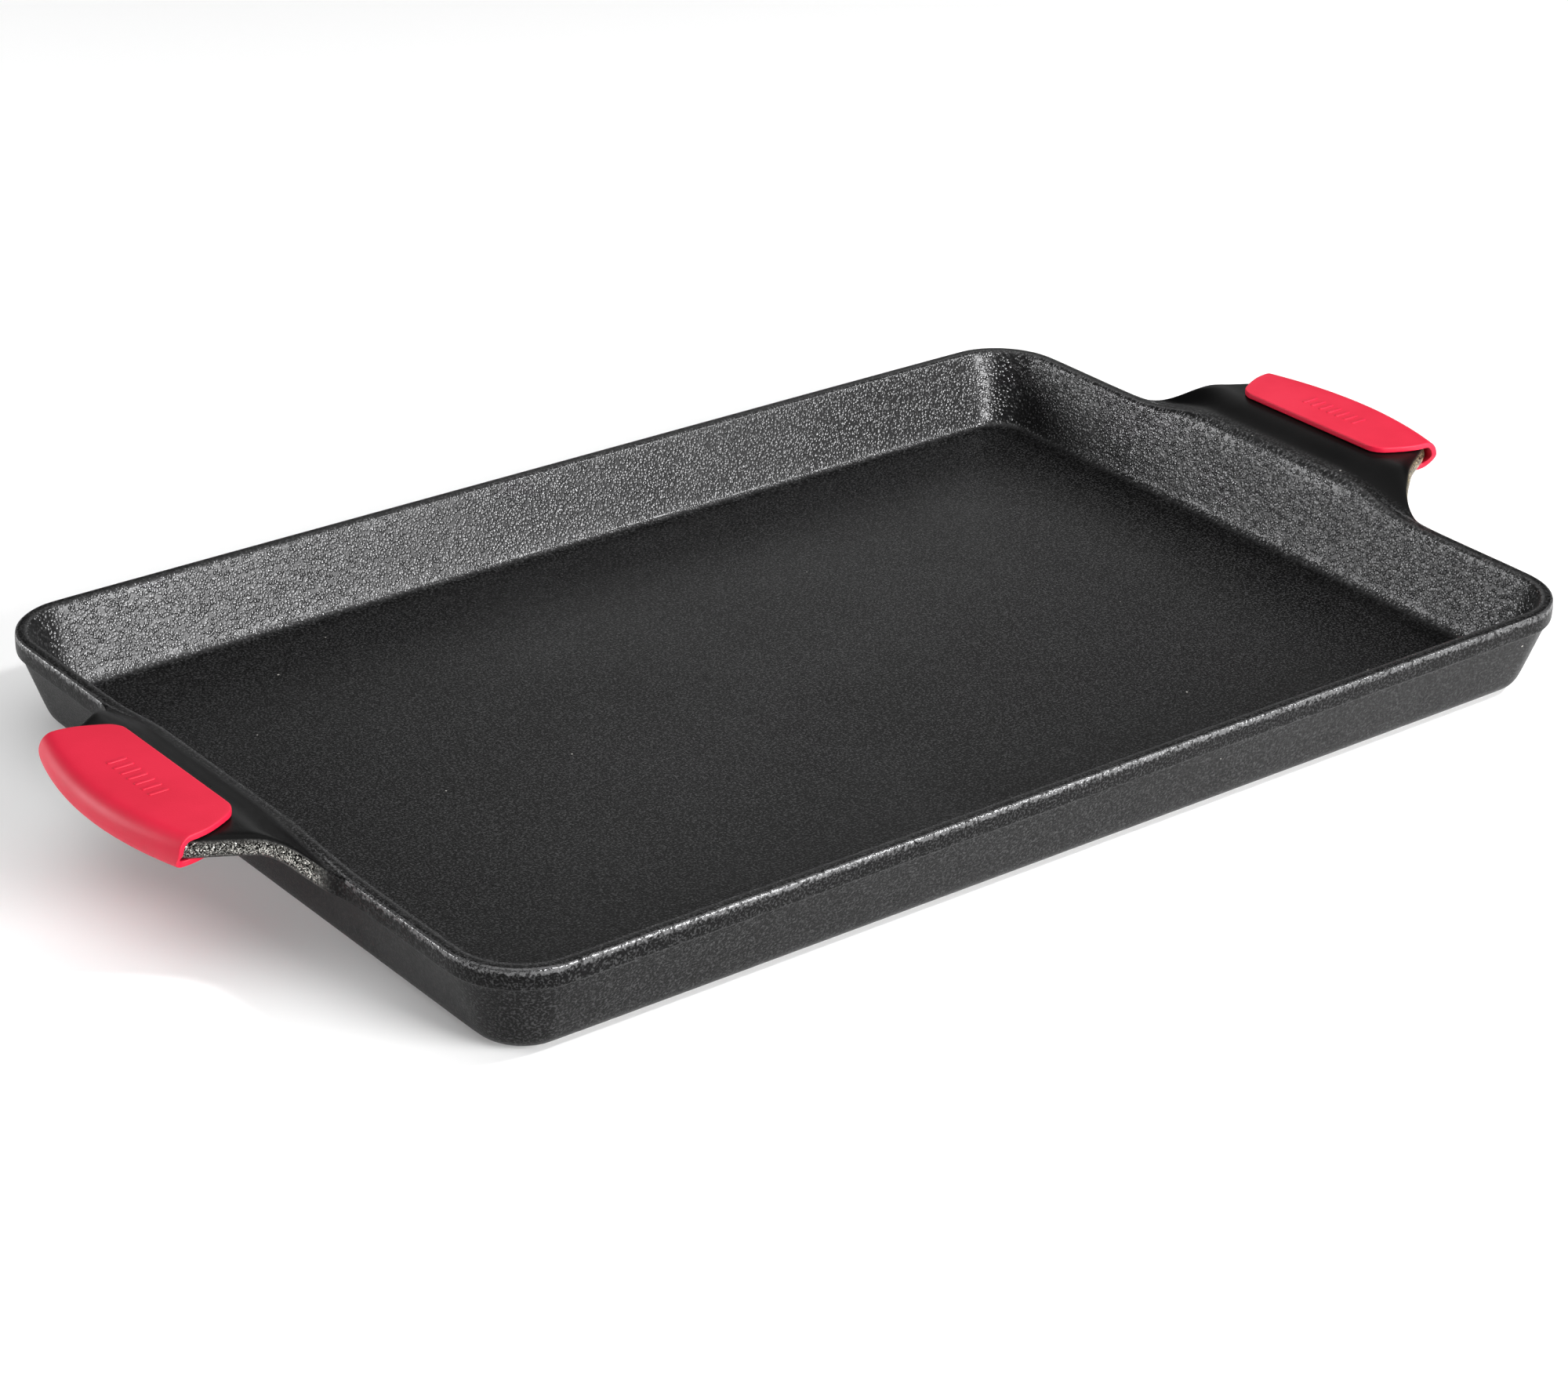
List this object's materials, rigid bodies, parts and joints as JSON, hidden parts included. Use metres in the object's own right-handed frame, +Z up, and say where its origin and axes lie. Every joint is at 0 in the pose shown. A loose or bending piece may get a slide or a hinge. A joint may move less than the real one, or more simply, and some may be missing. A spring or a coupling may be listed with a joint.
{
  "type": "griddle pan",
  "caption": "Rectangular cast-iron griddle pan with low drafted walls, a lipped rim, wing handles cast at both ends and pull-off silicone grips of C section.",
  "frame": {"origin": "middle of the flat underside, on the surface the pan stands on", "axes": "+X from handle to handle, +Y across the pan, +Z up out of the open tray"},
  "size_m": [0.476, 0.2666, 0.0409],
  "materials": {
    "seasoned_iron": "seasoned sand casting, pebbled walls, fine matt floor",
    "red_silicone": "matt moulded silicone, red"
  },
  "bodies": {
    "pan": {"pan_casting": "seasoned_iron"},
    "left_grip": {"left_grip": "red_silicone"},
    "right_grip": {"right_grip": "red_silicone"}
  },
  "joints": [
    {"name": "left_grip_slide", "type": "slide", "parent": "pan", "child": "left_grip", "axis": [-1, 0, 0], "range_m": [0, 0.045]},
    {"name": "right_grip_slide", "type": "slide", "parent": "pan", "child": "right_grip", "axis": [1, 0, 0], "range_m": [0, 0.045]}
  ]
}
